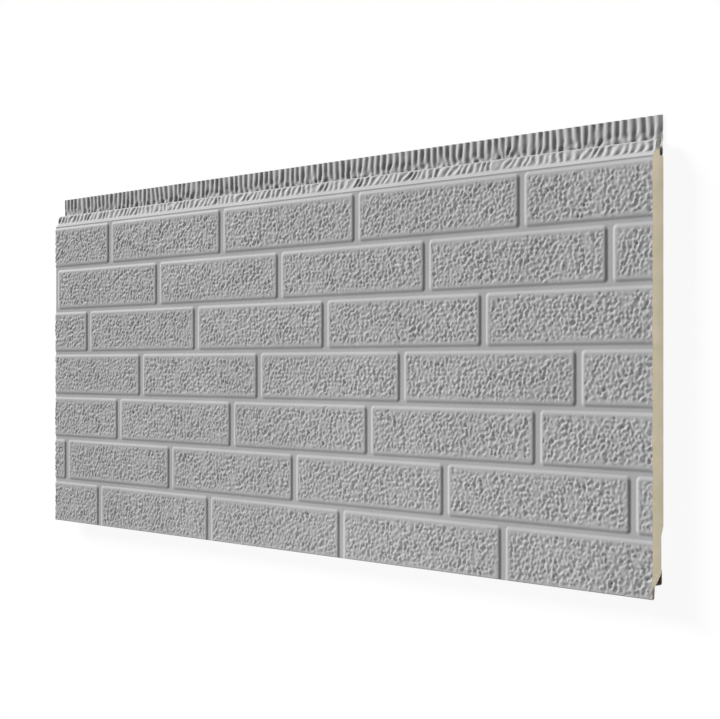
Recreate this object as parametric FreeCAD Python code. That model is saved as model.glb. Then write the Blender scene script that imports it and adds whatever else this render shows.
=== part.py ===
import FreeCAD, Part
import math
import os

from FreeCAD import Vector

# Metal siding panel: a roll-formed, brick-embossed steel face sheet bonded to a rigid foam core,
# with a foil laminate on the back. It lies on its back with the brick face up.
# X runs along the courses, +Y points to the edge that is uppermost on the wall, +Z out of the face.
# The origin is under the middle of the panel, on the plane of the back.
# Section points are (height, depth): height above the tip of the bottom lip, depth behind the bricks.

# Overall sizes, in millimetres; the coverage is the height of wall that one panel covers
panel_length = 948.0
panel_thickness = 16.5
coverage = 383.0
sheet_thickness = 0.3
foil_thickness = 0.1
bend_radius = 0.6

# Brick pattern pressed into the face sheet. Upright joints are given from the left end, top course first
course_count = 7
brick_module = 225.0
first_upright_joint = [125.5, 2.5, 77.5, 192.5, 144.5, 27.5, 102.5]
joint_depth = 1.55
joint_floor = 2.8
upright_floor = 5.2
shoulder_run = 4.5
top_joint_drop = 2.5

# Upper edge: a bead at the shoulder, a leaning tongue, a groove and the corrugated nailing flange
bead_depth = 1.15
bead_width = 0.5
bead_side = 0.8
bead_drop = 2.3
bead_radius = 0.4
strip_foot_rise = 1.2
strip_depth = 4.9
tongue_rise = 11.6
tongue_lean = 0.7
tongue_fold = 1.4
tongue_root = 3.5
groove_drop = 13.6
flange_rise = 21.9
flange_stand_off = 1.2
wave_pitch = 9.0
wave_amplitude = 0.85
wave_crest = 1.2

# Lower edge: the lip, the lap behind it and the return that grips the core
lip_thickness = 3.4
lip_bevel = 0.8
lap_height = 11.8
lap_lean = 1.0
return_stand_off = 2.2
return_rise = 12.8
return_radius = 2.0
lip_fold_share = 0.4

# Back of the core: a recess that clears the flange of the panel below, and the foil's edges
recess_depth = 2.9
recess_height = 54.0
recess_ramp = 8.5
foil_edge_gap = 0.6
foil_top_gap = 2.5
core_chamfer = 0.5

# The hollow that the foam leaves in the fold behind the lap
hollow_lap_gap = 1.2
hollow_rise = 10.7

# How far a cutting or joining solid reaches past the faces that it works on
overlap = 0.5

# Heights and depths of the section, worked out from the sizes above
course_pitch = coverage / course_count
tongue_top = coverage + tongue_rise
groove_floor = tongue_top - groove_drop
flange_top = tongue_top + flange_rise
bead_top = coverage - bead_drop
bead_low = bead_top - bead_width
fold_depth = strip_depth + tongue_lean
flange_depth = panel_thickness - flange_stand_off
groove_back = flange_depth + wave_amplitude + sheet_thickness
return_depth = panel_thickness - return_stand_off
return_top = lap_height + return_rise
core_back = panel_thickness - foil_thickness
recess_plane = panel_thickness - recess_depth
lip_radius = min(bend_radius, lip_fold_share * (lip_thickness - joint_depth))
shoulder_radius = (shoulder_run**2 + joint_depth**2) / (2 * joint_depth)
half_length = panel_length / 2
half_height = flange_top / 2
along_panel = Vector(panel_length, 0, 0)


def place(height, depth, x=-half_length):
    """A section point in the panel's frame, at the left end unless x says otherwise."""
    return Vector(x, height - half_height, panel_thickness - depth)


def line(start, end):
    return Part.LineSegment(start, end).toShape()


def polyline(points):
    return [line(start, end) for start, end in zip(points, points[1:])]


def prism(edges, along):
    """The solid that a closed outline sweeps."""
    wire = Part.Wire(Part.__sortEdges__(edges))
    return Part.Face(wire).extrude(along)


def left_normal(start, end):
    along = (end - start).normalize()
    return Vector(0, -along.z, along.y)


def turns_left(before, corner, after):
    return left_normal(before, corner).dot(after - corner) > 0


def offset_path(points, distance):
    """An open path moved sideways to its left, with its corners where the moved lines meet."""
    moved = [points[0] + left_normal(points[0], points[1]) * distance]
    for before, corner, after in zip(points, points[1:], points[2:]):
        bisector = left_normal(before, corner) + left_normal(corner, after)
        moved.append(corner + bisector * (2 * distance / bisector.Length**2))
    moved.append(points[-1] + left_normal(points[-2], points[-1]) * distance)
    return moved


def offset_radii(points, radii, distance):
    """Bend radii of the moved path, concentric with the first ones; a sharp bend stays sharp."""
    moved = []
    for before, corner, after, radius in zip(points, points[1:], points[2:], radii):
        change = -distance if turns_left(before, corner, after) else distance
        moved.append(max(radius + change, 0) if radius else 0)
    return moved


def rounded_path(points, radii):
    """Straight runs joined by tangent arcs, one radius for each inner corner; 0 leaves it sharp."""
    edges = []
    start = points[0]
    for before, corner, after, radius in zip(points, points[1:], points[2:], radii):
        towards_before = (before - corner).normalize()
        towards_after = (after - corner).normalize()
        bisector = (towards_before + towards_after).normalize()
        half_angle = towards_before.getAngle(towards_after) / 2
        reach = radius / math.tan(half_angle)
        arc_start = corner + towards_before * reach
        arc_end = corner + towards_after * reach
        edges.append(line(start, arc_start))
        if radius:
            middle = corner + bisector * (radius / math.sin(half_angle) - radius)
            edges.append(Part.Arc(arc_start, middle, arc_end).toShape())
        start = arc_end
    edges.append(line(start, points[-1]))
    return edges


def bent_strip(points, radii, thickness):
    """A strip of sheet bent along a path, its thickness on the left, over the panel's length."""
    inside = offset_path(points, thickness)
    edges = rounded_path(points, radii)
    edges += rounded_path(inside, offset_radii(points, radii, thickness))
    edges += [line(points[0], inside[0]), line(points[-1], inside[-1])]
    return prism(edges, along_panel)


# Path of the painted side of the sheet, from the back of the groove round to the return's end:
# first the bends that the core fills, with their radii, and then the fold that it leaves hollow.
groove_end = place(groove_floor, groove_back)
filled_bends = [
    (place(groove_floor, strip_depth + tongue_root), bend_radius),
    (place(tongue_top, fold_depth + tongue_fold), bend_radius),
    (place(tongue_top, fold_depth), bend_radius),
    (place(coverage + strip_foot_rise, strip_depth), bend_radius),
    (place(bead_top, bead_depth), bead_radius),
    (place(bead_low, bead_depth), bead_radius),
    (place(bead_low - bead_side, joint_depth), bead_radius),
    (place(0, joint_depth), lip_radius),
    (place(lip_bevel, lip_thickness), lip_radius),
    (place(lap_height, lip_thickness + lap_lean), bend_radius),
]
hollow_bend = (place(lap_height, return_depth), return_radius)
return_end = place(return_top, return_depth)
sheet_bends = [*filled_bends, hollow_bend]
sheet_path = [groove_end, *[point for point, radius in sheet_bends], return_end]
sheet_radii = [radius for point, radius in sheet_bends]

# Path of the foil's outside, from above the return to below the groove
foil_path = [
    place(return_top + foil_edge_gap, recess_plane),
    place(recess_height, recess_plane),
    place(recess_height + recess_ramp, panel_thickness),
    place(groove_floor - foil_top_gap, panel_thickness),
]
foil_radii = [0, 0]


def corrugated_flange():
    """The upright flange: flat-crested waves across its length, drawn up from the groove's floor."""
    wave_count = round(panel_length / wave_pitch)
    wave_length = panel_length / wave_count
    flank = (wave_length - 2 * wave_crest) / 2
    foot = groove_floor - sheet_thickness / 2
    corners = [(0, 0)]
    for wave in range(wave_count):
        start = wave * wave_length
        forward = start + flank / 2
        back = start + flank * 1.5 + wave_crest
        corners += [(forward, -wave_amplitude), (forward + wave_crest, -wave_amplitude)]
        corners += [(back, wave_amplitude), (back + wave_crest, wave_amplitude)]
    corners.append((panel_length, 0))
    sides = []
    for side in (-sheet_thickness / 2, sheet_thickness / 2):
        sides.append([place(foot, flange_depth + side + swing, x - half_length) for x, swing in corners])
    front, rear = sides
    edges = polyline(front) + polyline(rear) + [line(front[0], rear[0]), line(front[-1], rear[-1])]
    return prism(edges, Vector(0, flange_top - foot, 0))


def shoulder_arc(edge, inward, skin):
    """A brick's rounded side, from the joint floor to its face, as three (position, depth) points.

    edge is where the outside meets the joint floor, inward is the direction towards the brick's
    middle, and skin is how far the surface lies inside the sheet's outside.
    """
    radius = shoulder_radius - skin
    foot_depth = joint_depth + skin
    reach = math.sqrt(radius**2 - (shoulder_radius - foot_depth) ** 2)
    middle_depth = shoulder_radius - math.sqrt(radius**2 - (reach / 2) ** 2)
    crown = edge + inward * shoulder_run
    return [(crown - inward * reach, foot_depth), (crown - inward * reach / 2, middle_depth), (crown, skin)]


def nose_arc(edge, skin):
    """The bottom course's rounded lower side, which is the front of the lip: a quarter circle."""
    radius = joint_depth - skin
    slant = radius * (1 - math.sqrt(0.5))
    return [(edge + skin, joint_depth), (edge + skin + slant, skin + slant), (edge + joint_depth, skin)]


def brick_prism(low_arc, high_arc, skin, to_point, along):
    """A bar with rounded shoulders: one direction of a brick."""
    base = joint_depth + sheet_thickness + (overlap if skin else 0)
    low = [to_point(*point) for point in low_arc]
    high = [to_point(*point) for point in high_arc]
    low_base = to_point(low_arc[0][0], base)
    high_base = to_point(high_arc[0][0], base)
    edges = polyline([low[0], low_base, high_base, high[0]])
    edges += [Part.Arc(*low).toShape(), line(low[-1], high[-1]), Part.Arc(*high).toShape()]
    return prism(edges, along)


def brick(left, right, low, high, skin):
    """A pressed brick: where two round-shouldered bars cross. The lowest course stands on the lip's nose."""
    lying = brick_prism(
        nose_arc(low, skin) if low == 0 else shoulder_arc(low, 1, skin),
        shoulder_arc(high, -1, skin),
        skin,
        lambda height, depth: place(height, depth, left - overlap),
        Vector(right - left + 2 * overlap, 0, 0),
    )
    upright = brick_prism(
        shoulder_arc(left, 1, skin),
        shoulder_arc(right, -1, skin),
        skin,
        lambda x, depth: place(low - overlap, depth, x),
        Vector(0, high - low + 2 * overlap, 0),
    )
    return lying.common(upright)


def brick_courses(skin):
    """Every brick of the face, trimmed at the panel's two ends. skin 0 gives their outsides."""
    panel = Part.makeBox(panel_length, flange_top, panel_thickness, Vector(-half_length, -half_height, 0))
    solids = []
    for course in range(course_count):
        joint_above = coverage - top_joint_drop - course * course_pitch
        high = joint_above - joint_floor / 2
        is_lowest = course == course_count - 1
        low = 0 if is_lowest else joint_above - course_pitch + joint_floor / 2
        joint = first_upright_joint[course] % brick_module - brick_module - half_length
        while joint + upright_floor / 2 < half_length:
            left = joint + upright_floor / 2
            right = joint + brick_module - upright_floor / 2
            if right > -half_length:
                solids.append(panel.common(brick(left, right, low, high, skin)))
            joint += brick_module
    return solids


def face_sheet(outsides, insides):
    """The one sheet: the bent strip with its flange and its hollow bricks."""
    strip = bent_strip(sheet_path, sheet_radii, sheet_thickness)
    embossed = strip.multiFuse([corrugated_flange(), *outsides])
    return embossed.cut(Part.makeCompound(insides)).removeSplitter()


def foam_core(insides):
    """The core: it fills the sheet from the groove to the lap, and stops short of the lap's far fold."""
    bend_count = len(filled_bends)
    start = place(groove_floor - sheet_thickness, core_back - core_chamfer)
    end = place(lap_height + sheet_thickness, lip_thickness + lap_lean + hollow_lap_gap)
    front = [start, *offset_path(sheet_path, sheet_thickness)[1 : bend_count + 1], end]
    front_radii = offset_radii(sheet_path, sheet_radii, sheet_thickness)[:bend_count]
    return_inside = return_depth - sheet_thickness
    back = [
        end,
        place(lap_height + hollow_rise, return_inside),
        place(return_top, return_inside),
        place(return_top, recess_plane - foil_thickness),
        *offset_path(foil_path, foil_thickness)[1:-1],
        place(groove_floor - sheet_thickness - core_chamfer, core_back),
        start,
    ]
    core = prism(rounded_path(front, front_radii) + polyline(back), along_panel)
    return core.multiFuse(insides).removeSplitter()


def main():
    insides = brick_courses(sheet_thickness)
    pieces = {
        "face_sheet": face_sheet(brick_courses(0), insides),
        "foam_core": foam_core(insides),
        "back_foil": bent_strip(foil_path, foil_radii, foil_thickness),
    }
    os.makedirs("parts", exist_ok=True)
    for name, shape in pieces.items():
        state = "valid" if shape.isValid() else "not valid"
        print(name, len(shape.Solids), "solid,", state, round(shape.Volume), "mm3")
        shape.exportStep(f"parts/{name}.step")


main()
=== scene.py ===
# Looks of a brick-embossed metal siding panel: the pressed sheet in its courses, the crimped
# nailing edge, the lap edge, the cut foam and the foil back, with floor, light and camera.
import math

import bpy
import numpy as np
from mathutils import Matrix, Vector


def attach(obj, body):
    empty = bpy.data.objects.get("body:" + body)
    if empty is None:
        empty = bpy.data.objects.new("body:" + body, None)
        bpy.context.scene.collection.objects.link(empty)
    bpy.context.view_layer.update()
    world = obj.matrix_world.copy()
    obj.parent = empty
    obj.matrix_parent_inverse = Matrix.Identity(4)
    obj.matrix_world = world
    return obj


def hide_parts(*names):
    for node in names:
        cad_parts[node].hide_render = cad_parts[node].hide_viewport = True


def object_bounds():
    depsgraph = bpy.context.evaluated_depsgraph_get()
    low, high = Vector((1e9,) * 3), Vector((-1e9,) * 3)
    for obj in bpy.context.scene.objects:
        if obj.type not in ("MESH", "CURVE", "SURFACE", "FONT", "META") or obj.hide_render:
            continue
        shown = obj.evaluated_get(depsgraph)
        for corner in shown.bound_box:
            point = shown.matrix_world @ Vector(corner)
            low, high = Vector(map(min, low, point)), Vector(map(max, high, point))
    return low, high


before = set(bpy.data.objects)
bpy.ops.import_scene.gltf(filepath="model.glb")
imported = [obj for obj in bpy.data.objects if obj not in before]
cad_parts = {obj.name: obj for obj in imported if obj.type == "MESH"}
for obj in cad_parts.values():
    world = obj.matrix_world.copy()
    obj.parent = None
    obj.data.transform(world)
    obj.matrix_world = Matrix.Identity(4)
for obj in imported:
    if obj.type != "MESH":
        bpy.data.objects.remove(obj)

cad_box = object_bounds()
MM = 0.001
TINY = 1e-6

# Overall sizes from the frame, and sizes of the sheet's section, in millimetres. Heights run up
# from the tip of the lip, depths run back from the plane of the brick faces. The section is the
# construction's, with a thicker tongue, a lower bead, and faces that are sunk for the relief.
LENGTH, HEIGHT, THICKNESS = ((high - low) / MM for low, high in zip(*cad_box))
SHEET = 0.3
COVERAGE = 383.0
COURSES = 7
COURSE_PITCH = COVERAGE / COURSES
BRICK_MODULE = 225.0
FIRST_UPRIGHT_JOINT = [125.5, 2.5, 77.5, 192.5, 144.5, 27.5, 102.5]
JOINT_DEPTH = 1.55
JOINT_FLOOR = 2.8
UPRIGHT_FLOOR = 5.2
SHOULDER_RUN = 4.5
TOP_JOINT_DROP = 2.5
BRICK_CORNER = 5.0
NOSE_RADIUS = 0.8
FACE_SINK = 0.5

# The upper edge from the foot of the bead over the strip, the tongue and the groove to the top of
# the flange. Each bend is its height, depth and radius, and the spacing of the mesh lines on the
# run that ends there.
BEAD_FOOT = 379.2
BEAD_RISE = 379.4
BEAD_TOP = (380.2, 380.7)
BEAD_DEPTH = 1.35
STRIP_FOOT = (384.2, 4.9)
STRIP_TOP = (394.2, 6.9)
TONGUE_TOP = (395.4, 11.2)
TONGUE_BACK = 11.4
GROOVE_FLOOR = 381.0
FLANGE_FACE = 15.15
NAILING_BENDS = [
    (BEAD_FOOT, JOINT_DEPTH, 0, 1),
    (BEAD_RISE, JOINT_DEPTH, 0.3, 1),
    (BEAD_TOP[0], BEAD_DEPTH, 0.6, 1),
    (BEAD_TOP[1], BEAD_DEPTH, 0.36, 1),
    (*STRIP_FOOT, 1.0, 3),
    (*STRIP_TOP, 0.6, 1),
    (*TONGUE_TOP, 0.8, 3),
    (GROOVE_FLOOR, TONGUE_BACK, 1.2, 7),
    (GROOVE_FLOOR, FLANGE_FACE, 1.2, 4),
    (HEIGHT, FLANGE_FACE, 0, 1.6),
]
# The strip lies in front of the one depth and the flange behind the other
STRIP_DEPTH = 7.2
FLANGE_DEPTH = 14.0

# The lower edge from the end of the return to the nose of the lip, in the same way
RETURN_END = 24.6
RETURN_DEPTH = 14.3
LAP_FOLD = 11.8
LIP_ROOT_DEPTH = 4.4
LIP_TIP = (0.8, 3.4)
LAP_BENDS = [
    (RETURN_END, RETURN_DEPTH, 0, 4),
    (LAP_FOLD, RETURN_DEPTH, 2.0, 4),
    (LAP_FOLD, LIP_ROOT_DEPTH, 0.6, 4),
    (*LIP_TIP, 0.6, 4),
    (0.0, JOINT_DEPTH, 0, 4),
]

# The foam's back from the hollow behind the lap, over the rear recess, to the groove: height, depth
FOAM_GAP = 0.02
LIP_FOAM_DEPTH = 5.4
LIP_TIP_GAP = 0.1
HOLLOW_START = (12.1, 5.6)
HOLLOW_END = 22.5
LAP_FOAM_DEPTH = 14.0
RECESS_DEPTH = 13.5
RECESS_RAMP = (54.0, 62.5)
REAR_DEPTH = 16.38
REAR_TOP = 380.2
GROOVE_CHAMFER = (380.68, 15.9)
FOAM_BACK = [
    HOLLOW_START,
    (HOLLOW_END, LAP_FOAM_DEPTH),
    (RETURN_END, LAP_FOAM_DEPTH),
    (RETURN_END, RECESS_DEPTH),
    (RECESS_RAMP[0], RECESS_DEPTH),
    (RECESS_RAMP[1], REAR_DEPTH),
    (REAR_TOP, REAR_DEPTH),
    GROOVE_CHAMFER,
]

# Spacing of the mesh lines
COLUMN_STEP = 1.1
ROW_STEP = 1.1
SHOULDER_LINES = 6
EDGE_STEP = 1.5
LAP_STEP = 12
ARC_STEP = math.radians(18)
ARC_LEAST_STEPS = 2
HIDDEN_STEP = 16
END_COLUMNS = 8
FOAM_END_STEPS = [0, 1, 2, 4, 8]
FOAM_MIDDLE_INSET = 20
FOAM_MIDDLE_COLUMNS = 8

# Rough stone relief of the faces: pebbles and noise that lean, stronger and calmer in places, and
# that fade out over a ragged margin
FIELD_PITCH = 0.6
FIELD_SHAPE = tuple(math.ceil(side / FIELD_PITCH) + 2 for side in (HEIGHT, LENGTH))
NOISE_SPREAD = 0.35
PEBBLE_SPACING = 5.0
PEBBLE_ROW = 4.1
PEBBLE_REACH = (1.05, 0.9)
PEBBLE_SHAKE = 0.22
PEBBLE_SIZES = (0.4, 1.6)
PEBBLE_SHARE = 0.85
STONE_SHARE = 0.5
STONE_WAVELENGTH = 5.6
STONE_HEIGHT = 0.52
STONE_LEAN = 0.55
LEAN_LIMIT = 2
LEAN_DROP = 0.5
PIT_LIMIT = 2 * FACE_SINK
CALM_WAVELENGTH = 30.0
CALM_RANGE = (-1.4, 0.6)
CALM_STRENGTH = 0.6
ADDED_STRENGTH = 0.5
MARGIN = (4.4, 7.6)
MARGIN_WAVELENGTH = 12.0
MARGIN_SWAY = 0.9
LIP_MARGIN = 3.5

# Crimps of the nailing edge: the noises for drift, unevenness, buckles and wander, the upright
# waves of the flange with their flatter, buckled low part, and the slanted crimps of the strip
SWING_WAVELENGTHS = (60.0, 25.0, 11.0, 22.0)
FLANGE_RAMP = (GROOVE_FLOOR + 1, GROOVE_FLOOR + 8)
WAVE_PITCH = 9.0
WAVE_AMPLITUDE = 0.75
WAVE_VALLEY = 0.95
WAVE_DRIFT = 0.8
WAVE_MEAN = 0.9
WAVE_UNEVEN = 0.15
LOW_PART = (396, 407)
LOW_DRIFT = 1.6
LOW_FLATTENING = 0.3
LOW_BUCKLE = 0.38
LOW_SINK = 0.4
FLANGE_LIMIT = 1.05
STRIP_HEIGHTS = (384.0, 394.0)
STRIP_FADES = (2, 1)
CRIMP_PITCH = 8.7
CRIMP_AMPLITUDE = 0.57
CRIMP_SLANT = 0.2
CRIMP_TURN = 0.25
CRIMP_UNEVEN = 0.25
CRIMP_RANGE = (0.6, 1.3)
CRIMP_BUCKLE = 0.2

# Colours: each surface is mottled between two tones, and the foam has painted shade in the lip and
# the tongue, darker colours that come in between two heights
PAINTED, COATED = 0, 1
PAINT_TONES = [(0.347, 0.342, 0.344), (0.383, 0.378, 0.38)]
PAINT_SPECULAR = 0.02
COAT_TONES = [(0.22, 0.185, 0.14), (0.3, 0.255, 0.2)]
FOAM_TONES = [(0.56, 0.51, 0.36), (0.63, 0.555, 0.43)]
# Painted shade: a dark brown on the foam in the lip stands in for the shade on the foam's cut end
# behind the lap
LIP_PAINTED_SHADE = (0.2, 0.16, 0.135)
LIP_SHADE_HEIGHTS = (12.5, 8.0)
# Painted shade: a dark grey on the foam in the tongue stands in for the shade inside the tongue's
# hollow fold
TONGUE_PAINTED_SHADE = (0.235, 0.23, 0.21)
TONGUE_SHADE_HEIGHTS = (384.0, 388.0)
FOIL_TONES = [(0.70, 0.70, 0.71), (0.78, 0.78, 0.79)]

# Floor and lamps, in metres and degrees
FLOOR_REACH = 6.0
FLOOR_DROP = 0.0003
FLOOR_GREY = 0.8
FLOOR_GLOW = 0.92
SKY_LEVEL = 0.16
KEY_TILT = 71.5
KEY_TURN = 28.0
KEY_LEVEL = 0.815
KEY_SOFTNESS = 15.0
CARD_SIZE = (0.9, 0.014)
CARD_LEVEL = 2.2
CARD_DISTANCE = 0.5
CARD_HEIGHT = 0.008
FILL_SIZE = (0.4, 0.4)
FILL_LEVEL = 0.9
FILL_PLACE = (0.12, -0.62, 0.45)
FILL_TARGET = (0.08, -0.15, 0.016)

# Camera, in pixels, millimetres and degrees
FOCAL_PIXELS = 1550.0
IMAGE_WIDTH = 720
AXIS_DROP_PIXELS = 6.1
SENSOR = 36.0
VIEW_TILT = 47.06
VIEW_DISTANCE = 1590.6
VIEW_TARGET = (108.3, -7.85, THICKNESS)

SEED = 2407
rng = np.random.default_rng(SEED)


def to_frame(x, height, depth):
    """Points of the panel in the frame, in metres, from distances along, up and behind its face."""
    x, height, depth = np.broadcast_arrays(x, height, depth)
    points = np.stack([x, height - HEIGHT / 2, THICKNESS - depth], axis=-1)
    return points.reshape(-1, 3) * MM


def smoothstep(low, high, value):
    share = np.clip((value - low) / (high - low), 0, 1)
    return share * share * (3 - 2 * share)


def field_frequencies():
    """Frequencies of a field's spectrum, up and along the panel, in cycles per millimetre."""
    up = np.fft.fftfreq(FIELD_SHAPE[0], FIELD_PITCH)[:, None]
    along = np.fft.rfftfreq(FIELD_SHAPE[1], FIELD_PITCH)[None, :]
    return up, along


def filtered(field, gain):
    """The field with a gain on its frequencies, its mean 0 and its deviation 1."""
    field = np.fft.irfft2(np.fft.rfft2(field) * gain, s=FIELD_SHAPE)
    return (field - field.mean()) / field.std()


def smooth_noise(wavelength):
    """A random field over the panel with features of one size."""
    cycles = np.maximum(np.hypot(*field_frequencies()) * wavelength, TINY)
    gain = np.exp(-0.5 * (np.log(cycles) / NOISE_SPREAD) ** 2)
    return filtered(rng.standard_normal(FIELD_SHAPE), gain)


def pebble_field():
    """A field of bumps on a shaken lattice over the panel."""
    rows, columns = round(HEIGHT / PEBBLE_ROW), round(LENGTH / PEBBLE_SPACING)
    row, column = np.mgrid[:rows, :columns]
    shake = PEBBLE_SHAKE * rng.standard_normal((2, rows, columns))
    up = (row + shake[0]) * PEBBLE_ROW / FIELD_PITCH
    along = (column + row % 2 / 2 + shake[1]) * PEBBLE_SPACING / FIELD_PITCH
    places = tuple(np.round(at).astype(int) % size for at, size in zip((up, along), FIELD_SHAPE))
    spots = np.zeros(FIELD_SHAPE)
    np.add.at(spots, places, rng.uniform(*PEBBLE_SIZES, (rows, columns)))
    upward, across = field_frequencies()
    reach = (PEBBLE_REACH[0] * across) ** 2 + (PEBBLE_REACH[1] * upward) ** 2
    return filtered(spots, np.exp(-2 * math.pi**2 * reach))


def sample(field, x, height):
    """The field's values at points of the panel, with straight steps between its grid points."""
    x, height = np.broadcast_arrays(x, height)
    column = (x + LENGTH / 2) / FIELD_PITCH
    row = height / FIELD_PITCH
    left = np.clip(np.floor(column).astype(int), 0, field.shape[1] - 2)
    low = np.clip(np.floor(row).astype(int), 0, field.shape[0] - 2)
    right_share = column - left
    high_share = row - low
    below = field[low, left] * (1 - right_share) + field[low, left + 1] * right_share
    above = field[low + 1, left] * (1 - right_share) + field[low + 1, left + 1] * right_share
    return below * (1 - high_share) + above * high_share


def grid_numbers(rows, columns, first=0):
    """Numbers of a grid's points, which lie row by row."""
    return first + np.arange(rows * columns).reshape(rows, columns)


def grid_quads(numbers):
    """The faces between a grid's points, as corner numbers."""
    corners = [numbers[:-1, :-1], numbers[:-1, 1:], numbers[1:, 1:], numbers[1:, :-1]]
    return np.stack([corner.ravel() for corner in corners], axis=1)


def strip_quads(outer, inner):
    """The faces between two lines of points, as corner numbers."""
    return [list(face) for face in zip(outer, outer[1:], inner[1:], inner)]


def end_rims(outside, inside):
    """The faces across the sheet's thickness at the two ends of the panel."""
    left = strip_quads(outside[:, 0], inside[:, 0])
    right = strip_quads(outside[::-1, -1], inside[::-1, -1])
    return left + right


def make_piece(name, points, face_groups, materials, node):
    """A mesh that rides with the panel. Each face group is (faces, material number, smooth)."""
    groups, numbers, smooths = zip(*face_groups)
    faces = [list(face) for group in groups for face in group]
    counts = [len(group) for group in groups]
    smooth = np.repeat(smooths, counts)
    mesh = bpy.data.meshes.new(name)
    mesh.from_pydata(points, [], faces)
    mesh.polygons.foreach_set("material_index", np.repeat(numbers, counts))
    mesh.polygons.foreach_set("use_smooth", smooth)
    corner_edges = np.empty(len(mesh.loops), dtype=np.int32)
    mesh.loops.foreach_get("edge_index", corner_edges)
    sharp = np.zeros(len(mesh.edges), dtype=bool)
    sharp[corner_edges[np.repeat(~smooth, [len(face) for face in faces])]] = True
    mesh.edges.foreach_set("use_edge_sharp", sharp)
    for material in materials:
        mesh.materials.append(material)
    mesh.update()
    piece = bpy.data.objects.new(name, mesh)
    bpy.context.scene.collection.objects.link(piece)
    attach(piece, "root")
    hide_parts(node)
    return piece


def sheet_piece(name, points, outside, inside, rims, rim_material, materials):
    """A piece of the sheet from the grids of its two sides and the faces round its edges."""
    face_groups = [
        (grid_quads(outside), PAINTED, True),
        (grid_quads(inside)[:, ::-1], COATED, True),
        (rims, rim_material, False),
    ]
    make_piece(name, points, face_groups, materials, "face_sheet")


# Brick courses


def shoulder_depth(inside):
    """Depth of the pressed shoulder: steepest at a third of its run, and level at both ends."""
    share = np.clip(inside / SHOULDER_RUN, 0, 1)
    return FACE_SINK + (JOINT_DEPTH - FACE_SINK) * (1 - share) ** 3 * (1 + 3 * share)


def nose_depth(height):
    """Depth of the rounded nose at the tip of the lip."""
    reach = np.clip(1 - height / NOSE_RADIUS, 0, 1)
    return FACE_SINK + (JOINT_DEPTH - FACE_SINK) * (1 - np.sqrt(1 - reach**2))


def mesh_lines(start, end, fixed, step):
    """Line positions from start to end: the fixed ones, with even steps in the gaps."""
    stops = sorted({start, end, *[line for line in fixed if start < line < end]})
    lines = [start]
    for low, high in zip(stops, stops[1:]):
        steps = math.ceil((high - low) / step - TINY)
        lines += list(np.linspace(low, high, steps + 1)[1:])
    return np.array(lines)


def shoulder_lines(floor):
    """Distances of the shoulder's mesh lines from the middle of a joint."""
    return floor / 2 + np.linspace(0, SHOULDER_RUN, SHOULDER_LINES + 1)


def course_heights(course):
    """(lower boundary, upper boundary, joint centre-line below, joint centre-line above)"""
    above = COVERAGE - TOP_JOINT_DROP - course * COURSE_PITCH
    below = above - COURSE_PITCH
    low = max(below, 0.0)
    high = min(above, BEAD_FOOT)
    return low, high, below, above


def upright_joints(course):
    """Places of the middles of a course's upright joints, past both ends of the panel."""
    first = FIRST_UPRIGHT_JOINT[course] % BRICK_MODULE - BRICK_MODULE - LENGTH / 2
    return np.arange(first, LENGTH / 2 + BRICK_MODULE, BRICK_MODULE)


def course_surface(course, relief_at):
    """The painted surface of one course: x of its columns, heights of its rows, depths."""
    low, high, below, above = course_heights(course)
    joints = upright_joints(course)
    reaches = np.concatenate([[0], shoulder_lines(UPRIGHT_FLOOR)])
    shoulders = [joint + side * reach for joint in joints for side in (-1, 1) for reach in reaches]
    x = mesh_lines(-LENGTH / 2, LENGTH / 2, shoulders, COLUMN_STEP)
    fixed = list(above - shoulder_lines(JOINT_FLOOR))
    if low == 0:
        quarter = np.linspace(0, math.pi / 2, SHOULDER_LINES + 1)
        fixed += list(NOSE_RADIUS * (1 - np.cos(quarter)))
    else:
        fixed += list(below + shoulder_lines(JOINT_FLOOR))
    height = mesh_lines(low, high, fixed, ROW_STEP)

    across = np.abs(x[None, :] - joints[:, None]).min(axis=0)[None, :] - UPRIGHT_FLOOR / 2
    up = above - JOINT_FLOOR / 2 - height
    if low > 0:
        up = np.minimum(up, height - below - JOINT_FLOOR / 2)
    up = up[:, None]
    near_corner = (across < BRICK_CORNER) & (up < BRICK_CORNER)
    round_corner = BRICK_CORNER - np.hypot(BRICK_CORNER - across, BRICK_CORNER - up)
    inside = np.where(near_corner, round_corner, np.minimum(across, up))
    depth = shoulder_depth(inside)
    margin = inside
    if low == 0:
        depth = np.maximum(depth, nose_depth(height)[:, None])
        margin = np.minimum(inside, height[:, None] + LIP_MARGIN)
    return x, height, depth - relief_at(x[None, :], height[:, None], margin)


def stone_relief():
    """A function for the height of the rough stone pattern at points of the faces."""
    rough = PEBBLE_SHARE * pebble_field() + STONE_SHARE * smooth_noise(STONE_WAVELENGTH)
    calm = smooth_noise(CALM_WAVELENGTH)
    ragged = smooth_noise(MARGIN_WAVELENGTH)

    def relief_at(x, height, margin):
        added = ADDED_STRENGTH * smoothstep(*CALM_RANGE, sample(calm, x, height))
        strength = CALM_STRENGTH + added
        lean = STONE_LEAN * np.clip(sample(rough, x, height), -LEAN_LIMIT, LEAN_LIMIT)
        leaning = sample(rough, x + lean, height - LEAN_DROP * lean)
        bumps = np.clip(STONE_HEIGHT * strength * leaning, -PIT_LIMIT, FACE_SINK)
        edge = margin + MARGIN_SWAY * sample(ragged, x, height)
        return bumps * smoothstep(*MARGIN, edge)

    return relief_at


def kept_columns(count):
    """Columns of the sheet's hidden side: all of them near the ends, every few in between."""
    numbers = np.arange(count)
    near_end = (numbers < END_COLUMNS) | (numbers >= count - END_COLUMNS)
    return numbers[near_end | (numbers % HIDDEN_STEP == 0)]


def deepest_near(depth, columns):
    """For each of the columns, the greatest depth between its two neighbours, row by row."""
    found = []
    for number, column in enumerate(columns):
        first = columns[number - 1] + 1 if number > 0 else column
        last = columns[number + 1] if number < len(columns) - 1 else column + 1
        found.append(depth[:, first : max(last, column + 1)].max(axis=1))
    return np.stack(found, axis=1)


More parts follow.
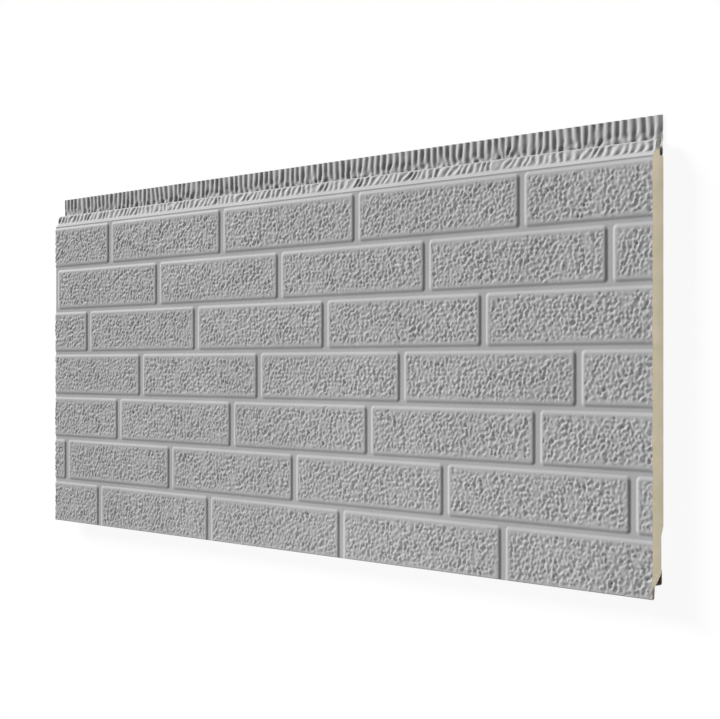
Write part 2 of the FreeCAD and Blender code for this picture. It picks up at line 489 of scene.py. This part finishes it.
def course_piece(course, surface, materials):
    """One course as a closed sheet, its hidden side with fewer columns."""
    x, height, depth = surface
    kept = kept_columns(len(x))
    inner_depth = deepest_near(depth, kept) + SHEET
    points = np.concatenate([
        to_frame(x[None, :], height[:, None], depth),
        to_frame(x[kept][None, :], height[:, None], inner_depth),
    ])
    outside = grid_numbers(*depth.shape)
    inside = grid_numbers(*inner_depth.shape, first=depth.size)
    rims = end_rims(outside, inside)
    for number, (start, end) in enumerate(zip(kept, kept[1:])):
        span = slice(start, end + 1)
        rims.append([inside[0, number], inside[0, number + 1], *outside[0, span][::-1]])
        rims.append([inside[-1, number + 1], inside[-1, number], *outside[-1, span]])
    name = f"brick_course_{course + 1}"
    sheet_piece(name, points, outside, inside, rims, PAINTED, materials)


# Folded edges


def unit(vector):
    return vector / np.linalg.norm(vector)


def straight_run(start, end, step):
    """Even steps from start to end, without the start."""
    steps = max(1, math.ceil(np.linalg.norm(end - start) / step))
    return list(np.linspace(start, end, steps + 1)[1:])


def rounded_path(bends):
    """Points along straight runs and the arcs between them, as (height, depth)."""
    corners = np.array([bend[:2] for bend in bends])
    path = [corners[0]]
    for before, corner, after, bend in zip(corners, corners[1:], corners[2:], bends[1:]):
        radius, step = bend[2:]
        back, on = unit(before - corner), unit(after - corner)
        half = math.acos(np.clip(back @ on, -1, 1)) / 2
        start = corner + back * radius / math.tan(half)
        end = corner + on * radius / math.tan(half)
        centre = corner + unit(back + on) * radius / math.sin(half)
        turn = math.pi - 2 * half
        path += straight_run(path[-1], start, step)
        steps = max(ARC_LEAST_STEPS, math.ceil(turn / ARC_STEP))
        for share in np.linspace(0, 1, steps + 1)[1:]:
            from_start = math.sin((1 - share) * turn) * (start - centre)
            from_end = math.sin(share * turn) * (end - centre)
            path.append(centre + (from_start + from_end) / math.sin(turn))
    path += straight_run(path[-1], corners[-1], bends[-1][3])
    return np.array(path)


def outward(path):
    """Directions that point away from the foam, as (height, depth)."""
    run = np.gradient(path, axis=0)
    run /= np.linalg.norm(run, axis=1)[:, None]
    return np.stack([run[:, 1], -run[:, 0]], axis=1)


def even_columns(step):
    return np.linspace(-LENGTH / 2, LENGTH / 2, round(LENGTH / step) + 1)


def folded_piece(name, path, x, swing, materials):
    """A sheet bent along a path and pushed out by swing, closed, over the panel's length."""
    normal = outward(path)
    points = []
    for offset in (swing, swing - SHEET):
        height = path[:, :1] + normal[:, :1] * offset
        depth = path[:, 1:] + normal[:, 1:] * offset
        points.append(to_frame(x[None, :], height, depth))
    outside = grid_numbers(len(path), len(x))
    inside = outside + outside.size
    rims = end_rims(outside, inside)
    rims += strip_quads(outside[0, ::-1], inside[0, ::-1])
    rims += strip_quads(outside[-1], inside[-1])
    sheet_piece(name, np.concatenate(points), outside, inside, rims, COATED, materials)


def nailing_swing(path, x):
    """How far the crimps of the flange and the strip push the upper edge out."""
    height, depth = path[:, :1], path[:, 1:]
    x = x[None, :]
    noises = [sample(smooth_noise(wavelength), x, height) for wavelength in SWING_WAVELENGTHS]
    drift, uneven, buckle, wander = noises

    on_flange = np.where(depth > FLANGE_DEPTH, smoothstep(*FLANGE_RAMP, height), 0)
    low_part = 1 - smoothstep(*LOW_PART, height)
    phase = 2 * math.pi * (x + WAVE_DRIFT * drift + LOW_DRIFT * low_part * uneven) / WAVE_PITCH
    crest = math.exp(-1 / WAVE_VALLEY**2)
    valley = np.exp(-(np.cos(phase / 2) ** 2) / WAVE_VALLEY**2)
    tubes = 1 - 2 * (valley - crest) / (1 - crest)
    waves = WAVE_AMPLITUDE * tubes * (WAVE_MEAN + WAVE_UNEVEN * uneven)
    waves *= 1 - LOW_FLATTENING * low_part
    dents = low_part * (LOW_BUCKLE * buckle - LOW_SINK)
    flange = np.clip(waves + dents, -FLANGE_LIMIT, FLANGE_LIMIT) * on_flange

    low, high = STRIP_HEIGHTS
    begins = smoothstep(low, low + STRIP_FADES[0], height)
    ends = 1 - smoothstep(high - STRIP_FADES[1], high, height)
    on_strip = np.where(depth < STRIP_DEPTH, begins * ends, 0)
    slant = x - (CRIMP_SLANT + CRIMP_TURN * drift) * (height - COVERAGE) + wander
    crimps = np.sin(2 * math.pi * slant / CRIMP_PITCH)
    crimps = crimps * np.clip(1 + CRIMP_UNEVEN * uneven, *CRIMP_RANGE) + CRIMP_BUCKLE * buckle
    return flange + CRIMP_AMPLITUDE * crimps * on_strip


def nailing_surface():
    """Path, columns and crimps of the upper edge."""
    path = rounded_path(NAILING_BENDS)
    x = even_columns(EDGE_STEP)
    return path, x, nailing_swing(path, x)


def lap_surface():
    """Path and columns of the lower edge, which has no crimps."""
    path = rounded_path(LAP_BENDS)
    x = even_columns(LAP_STEP)
    return path, x, np.zeros((len(path), len(x)))


# Foam


def foam_columns():
    """Columns of the foam: close together near its two cut ends."""
    near = COLUMN_STEP * np.array(FOAM_END_STEPS)
    inner_half = LENGTH / 2 - FOAM_MIDDLE_INSET
    middle = np.linspace(-inner_half, inner_half, FOAM_MIDDLE_COLUMNS)
    return np.concatenate([-LENGTH / 2 + near, middle, LENGTH / 2 - near[::-1]])


def course_underside(surface, columns):
    """Depths of the sheet's hidden side at the foam's columns, never in front of it."""
    x, height, depth = surface
    bounds = np.concatenate([columns[:1], columns, columns[-1:]])
    found = []
    for before, column, after in zip(bounds, columns, bounds[2:]):
        reach = (x >= before - COLUMN_STEP) & (x <= after + COLUMN_STEP)
        if column in (columns[0], columns[-1]):
            reach = np.abs(x - column) < TINY
        found.append(depth[:, reach].max(axis=1))
    return np.stack(found, axis=1) + SHEET + FOAM_GAP


def foam_piece(surfaces, nailing, material):
    """The foam: one closed body that fills the sheet, with flat cut ends."""
    columns = foam_columns()
    rings = []

    def add_path(path):
        for height, depth in path:
            rings.append((np.full(len(columns), height), np.full(len(columns), depth)))

    lap = rounded_path(LAP_BENDS)
    lap = lap - outward(lap) * (SHEET + FOAM_GAP)
    add_path(lap[(lap[:, 1] < LIP_FOAM_DEPTH) & (lap[:, 0] > LIP_TIP_GAP)])
    for surface in surfaces[::-1]:
        depth = course_underside(surface, columns)
        for height, row in zip(surface[1][1:-1], depth[1:-1]):
            rings.append((np.full(len(columns), height), row))
    path, _, swing = nailing
    filled = path[:, 1] < FLANGE_DEPTH
    for point, normal, swings in zip(path[filled], outward(path)[filled], swing[filled]):
        offset = np.full(len(columns), swings.min())
        offset[[0, -1]] = swings[[0, -1]]
        offset -= SHEET + FOAM_GAP
        rings.append((point[0] + normal[0] * offset, point[1] + normal[1] * offset))
    add_path(FOAM_BACK[::-1])

    heights = np.array([ring[0] for ring in rings])
    depths = np.array([ring[1] for ring in rings])
    points = to_frame(columns[None, :], heights, depths)
    numbers = grid_numbers(len(rings), len(columns))
    cut_ends = [numbers[:, 0], numbers[::-1, -1]]
    groups = [grid_quads(numbers), grid_quads(numbers[[-1, 0]]), cut_ends]
    face_groups = [(group, 0, False) for group in groups]
    return make_piece("foam_filling", points, face_groups, [material], "foam_core")


# Materials


def new_material(name, roughness):
    material = bpy.data.materials.new(name)
    material.use_nodes = True
    nodes = material.node_tree.nodes
    shader = nodes["Principled BSDF"]
    shader.inputs["Roughness"].default_value = roughness
    return material, nodes, material.node_tree.links, shader


def texture_noise(nodes, links, scale, detail):
    place = nodes.new("ShaderNodeTexCoord")
    noise = nodes.new("ShaderNodeTexNoise")
    noise.inputs["Scale"].default_value = scale
    noise.inputs["Detail"].default_value = detail
    links.new(place.outputs["Object"], noise.inputs["Vector"])
    return noise.outputs["Fac"]


def mottled(nodes, links, source, tones, positions=(0.3, 0.7)):
    """A colour that goes from one tone to another as the source goes between two values."""
    ramp = nodes.new("ShaderNodeValToRGB")
    for element, position, tone in zip(ramp.color_ramp.elements, positions, tones):
        element.position = position
        element.color = (*tone, 1)
    links.new(source, ramp.inputs["Fac"])
    return ramp.outputs["Color"]


def add_bump(nodes, links, shader, source, distance):
    bump = nodes.new("ShaderNodeBump")
    bump.inputs["Strength"].default_value = 1.0
    bump.inputs["Distance"].default_value = distance
    links.new(source, bump.inputs["Height"])
    links.new(bump.outputs["Normal"], shader.inputs["Normal"])


def painted_shade_by_height(nodes, links, base, shade_colour, heights):
    """A colour that turns into a painted shade colour between two heights of the panel."""
    place = nodes.new("ShaderNodeTexCoord")
    axes = nodes.new("ShaderNodeSeparateXYZ")
    share = nodes.new("ShaderNodeMapRange")
    share.inputs["From Min"].default_value = (heights[0] - HEIGHT / 2) * MM
    share.inputs["From Max"].default_value = (heights[1] - HEIGHT / 2) * MM
    mix = nodes.new("ShaderNodeMix")
    mix.data_type = "RGBA"
    mix.inputs["B"].default_value = (*shade_colour, 1)
    links.new(place.outputs["Object"], axes.inputs["Vector"])
    links.new(axes.outputs["Y"], share.inputs["Value"])
    links.new(share.outputs["Result"], mix.inputs["Factor"])
    links.new(base, mix.inputs["A"])
    return mix.outputs["Result"]


def paint_material():
    material, nodes, links, shader = new_material("grey_paint", roughness=0.5)
    tone = texture_noise(nodes, links, scale=14.0, detail=4.0)
    links.new(mottled(nodes, links, tone, PAINT_TONES), shader.inputs["Base Color"])
    peel = texture_noise(nodes, links, scale=900.0, detail=3.0)
    add_bump(nodes, links, shader, peel, distance=0.00012)
    shader.inputs["Specular IOR Level"].default_value = PAINT_SPECULAR
    return material


def back_coat_material():
    material, nodes, links, shader = new_material("back_coat", roughness=0.6)
    tone = texture_noise(nodes, links, scale=40.0, detail=4.0)
    links.new(mottled(nodes, links, tone, COAT_TONES), shader.inputs["Base Color"])
    return material


def foam_material():
    material, nodes, links, shader = new_material("cut_foam", roughness=0.9)
    tone = texture_noise(nodes, links, scale=45.0, detail=5.0)
    colour = mottled(nodes, links, tone, FOAM_TONES, positions=(0.35, 0.65))
    # Painted shade: the foam turns dark in the lip and in the tongue, where its cut ends lie in
    # shade
    colour = painted_shade_by_height(nodes, links, colour, LIP_PAINTED_SHADE, LIP_SHADE_HEIGHTS)
    colour = painted_shade_by_height(nodes, links, colour, TONGUE_PAINTED_SHADE, TONGUE_SHADE_HEIGHTS)
    links.new(colour, shader.inputs["Base Color"])
    cells = texture_noise(nodes, links, scale=1500.0, detail=2.0)
    add_bump(nodes, links, shader, cells, distance=0.0003)
    return material


def foil_material():
    material, nodes, links, shader = new_material("foil", roughness=0.35)
    shader.inputs["Metallic"].default_value = 1.0
    crinkle = texture_noise(nodes, links, scale=90.0, detail=6.0)
    links.new(mottled(nodes, links, crinkle, FOIL_TONES), shader.inputs["Base Color"])
    add_bump(nodes, links, shader, crinkle, distance=0.0006)
    return material


# Floor, light and camera


def shown_or_bounced(nodes, links):
    """1 for what the camera sees directly, in a gloss or through glass; 0 for bounced light."""
    path = nodes.new("ShaderNodeLightPath")
    shown = path.outputs["Is Camera Ray"]
    for ray in ("Is Glossy Ray", "Is Transmission Ray"):
        either = nodes.new("ShaderNodeMath")
        either.operation = "MAXIMUM"
        links.new(shown, either.inputs[0])
        links.new(path.outputs[ray], either.inputs[1])
        shown = either.outputs["Value"]
    return shown


def floor_material():
    """A floor that looks almost white, with a faint shadow, and bounces light as a pale grey."""
    material = bpy.data.materials.new("pale_floor")
    material.use_nodes = True
    nodes, links = material.node_tree.nodes, material.node_tree.links
    nodes.clear()
    bounced = nodes.new("ShaderNodeBsdfDiffuse")
    bounced.inputs["Color"].default_value = (FLOOR_GREY, FLOOR_GREY, FLOOR_GREY, 1)
    glow = nodes.new("ShaderNodeEmission")
    glow.inputs["Strength"].default_value = 1.0
    white = nodes.new("ShaderNodeBsdfDiffuse")
    white.inputs["Color"].default_value = (1, 1, 1, 1)
    pale = nodes.new("ShaderNodeMixShader")
    pale.inputs["Fac"].default_value = FLOOR_GLOW
    links.new(white.outputs["BSDF"], pale.inputs[1])
    links.new(glow.outputs["Emission"], pale.inputs[2])
    split = nodes.new("ShaderNodeMixShader")
    links.new(shown_or_bounced(nodes, links), split.inputs["Fac"])
    links.new(bounced.outputs["BSDF"], split.inputs[1])
    links.new(pale.outputs["Shader"], split.inputs[2])
    output = nodes.new("ShaderNodeOutputMaterial")
    links.new(split.outputs["Shader"], output.inputs["Surface"])
    return material


def add_floor():
    mesh = bpy.data.meshes.new("floor")
    corners = [(-1, -1), (1, -1), (1, 1), (-1, 1)]
    points = [(x * FLOOR_REACH, y * FLOOR_REACH, -FLOOR_DROP) for x, y in corners]
    mesh.from_pydata(points, [], [(0, 1, 2, 3)])
    mesh.materials.append(floor_material())
    floor = bpy.data.objects.new("floor", mesh)
    bpy.context.scene.collection.objects.link(floor)


def add_sky():
    world = bpy.data.worlds.new("studio")
    bpy.context.scene.world = world
    world.use_nodes = True
    nodes, links = world.node_tree.nodes, world.node_tree.links
    background = nodes["Background"]
    background.inputs["Color"].default_value = (1, 1, 1, 1)
    strength = nodes.new("ShaderNodeMapRange")
    strength.inputs["To Min"].default_value = SKY_LEVEL
    strength.inputs["To Max"].default_value = 1.0
    links.new(shown_or_bounced(nodes, links), strength.inputs["Value"])
    links.new(strength.outputs["Result"], background.inputs["Strength"])


def add_key(spared_piece):
    """A raking sun that brings out the relief and spares one piece."""
    tilt, turn = math.radians(KEY_TILT), math.radians(KEY_TURN)
    level = math.sin(tilt)
    towards = Vector((-level * math.cos(turn), level * math.sin(turn), math.cos(tilt)))
    sun = bpy.data.lights.new("key", "SUN")
    sun.energy = KEY_LEVEL * math.pi / math.cos(tilt)
    sun.angle = math.radians(KEY_SOFTNESS)
    key = bpy.data.objects.new("key", sun)
    key.rotation_euler = (-towards).to_track_quat("-Z", "Y").to_euler()
    bpy.context.scene.collection.objects.link(key)
    spared = bpy.data.collections.new("spared_by_key")
    spared.objects.link(spared_piece)
    spared.collection_objects[0].light_linking.link_state = "EXCLUDE"
    key.light_linking.receiver_collection = spared


def add_card(name, size, energy, place, target):
    """A rectangular lamp that shows neither to the camera nor in a gloss."""
    card = bpy.data.lights.new(name, "AREA")
    card.shape = "RECTANGLE"
    card.size, card.size_y = size
    card.energy = energy
    holder = bpy.data.objects.new(name, card)
    holder.location = place
    holder.rotation_euler = (Vector(target) - Vector(place)).to_track_quat("-Z", "Y").to_euler()
    holder.visible_camera = False
    holder.visible_glossy = False
    bpy.context.scene.collection.objects.link(holder)


def add_light(foam):
    """A raking key on the sheet, low cards for the cut ends and a soft fill from below."""
    add_sky()
    add_key(foam)
    for side in (-1, 1):
        place = (side * (LENGTH / 2 * MM + CARD_DISTANCE), 0, CARD_HEIGHT)
        add_card("end_fill", CARD_SIZE, CARD_LEVEL, place, (0, 0, CARD_HEIGHT))
    add_card("soft_fill", FILL_SIZE, FILL_LEVEL, FILL_PLACE, FILL_TARGET)


def add_camera():
    tilt = math.radians(VIEW_TILT)
    right = Vector((math.cos(tilt), 0, -math.sin(tilt)))
    up = Vector((0, 1, 0))
    back = Vector((math.sin(tilt), 0, math.cos(tilt)))
    camera = bpy.data.cameras.new("camera")
    camera.sensor_width = SENSOR
    camera.lens = FOCAL_PIXELS / IMAGE_WIDTH * SENSOR
    camera.shift_y = AXIS_DROP_PIXELS / IMAGE_WIDTH
    holder = bpy.data.objects.new("camera", camera)
    bpy.context.scene.collection.objects.link(holder)
    turn = Matrix((right, up, back)).transposed().to_4x4()
    place = Vector(VIEW_TARGET) * MM + back * VIEW_DISTANCE * MM
    holder.matrix_world = Matrix.Translation(place) @ turn
    bpy.context.scene.camera = holder


sheet_materials = [paint_material(), back_coat_material()]
relief = stone_relief()
surfaces = [course_surface(course, relief) for course in range(COURSES)]
for course, surface in enumerate(surfaces):
    course_piece(course, surface, sheet_materials)
nailing = nailing_surface()
folded_piece("nailing_edge", *nailing, sheet_materials)
folded_piece("lap_edge", *lap_surface(), sheet_materials)
foam = foam_piece(surfaces, nailing, foam_material())
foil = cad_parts["back_foil"]
foil.data.materials.clear()
foil.data.materials.append(foil_material())
add_floor()
add_light(foam)
add_camera()
bpy.context.scene.view_settings.view_transform = "Standard"
